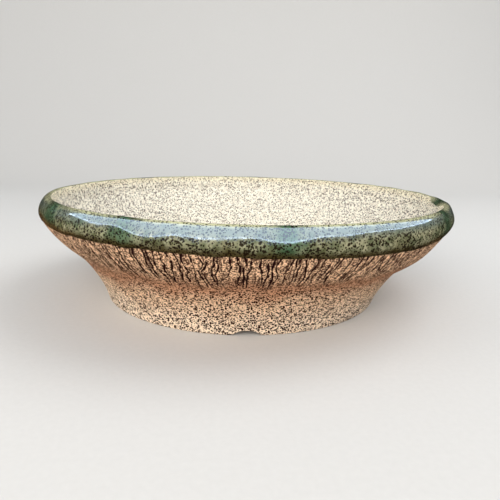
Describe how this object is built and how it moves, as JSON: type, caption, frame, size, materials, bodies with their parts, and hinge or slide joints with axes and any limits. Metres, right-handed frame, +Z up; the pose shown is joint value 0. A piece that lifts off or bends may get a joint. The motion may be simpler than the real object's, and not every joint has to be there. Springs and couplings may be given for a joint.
{
  "type": "bonsai pot",
  "caption": "Round shallow stoneware planter with a flared wall, a rolled lip coated in green glaze, a notched foot ring, and mesh screens clipped over the drain holes.",
  "frame": {"origin": "on the table plane, under the centre of the rim", "axes": "+Z up, out of the mouth; -Y towards the front, where one of the foot's water notches is; the foot sits 3.8 mm towards -X of the rim"},
  "size_m": [0.3, 0.3, 0.0757],
  "materials": {
    "clay": "unglazed speckled stoneware, matte, with crackle below the lip",
    "glaze": "glossy mottled green glaze",
    "screen_mesh": "matte moulded mesh",
    "clip_wire": "satin drawn wire"
  },
  "bodies": {
    "pot": {"pot_body": "clay", "rim_glaze": "glaze"},
    "screen_1": {"drain_screen_1": "screen_mesh", "screen_clip_1": "clip_wire"},
    "screen_2": {"drain_screen_2": "screen_mesh", "screen_clip_2": "clip_wire"},
    "screen_3": {"drain_screen_3": "screen_mesh", "screen_clip_3": "clip_wire"}
  },
  "joints": [
    {"name": "screen_1_lift", "type": "slide", "parent": "pot", "child": "screen_1", "axis": [0, 0, 1], "range_m": [0, 0.09]},
    {"name": "screen_2_lift", "type": "slide", "parent": "pot", "child": "screen_2", "axis": [0, 0, 1], "range_m": [0, 0.09]},
    {"name": "screen_3_lift", "type": "slide", "parent": "pot", "child": "screen_3", "axis": [0, 0, 1], "range_m": [0, 0.09]}
  ]
}
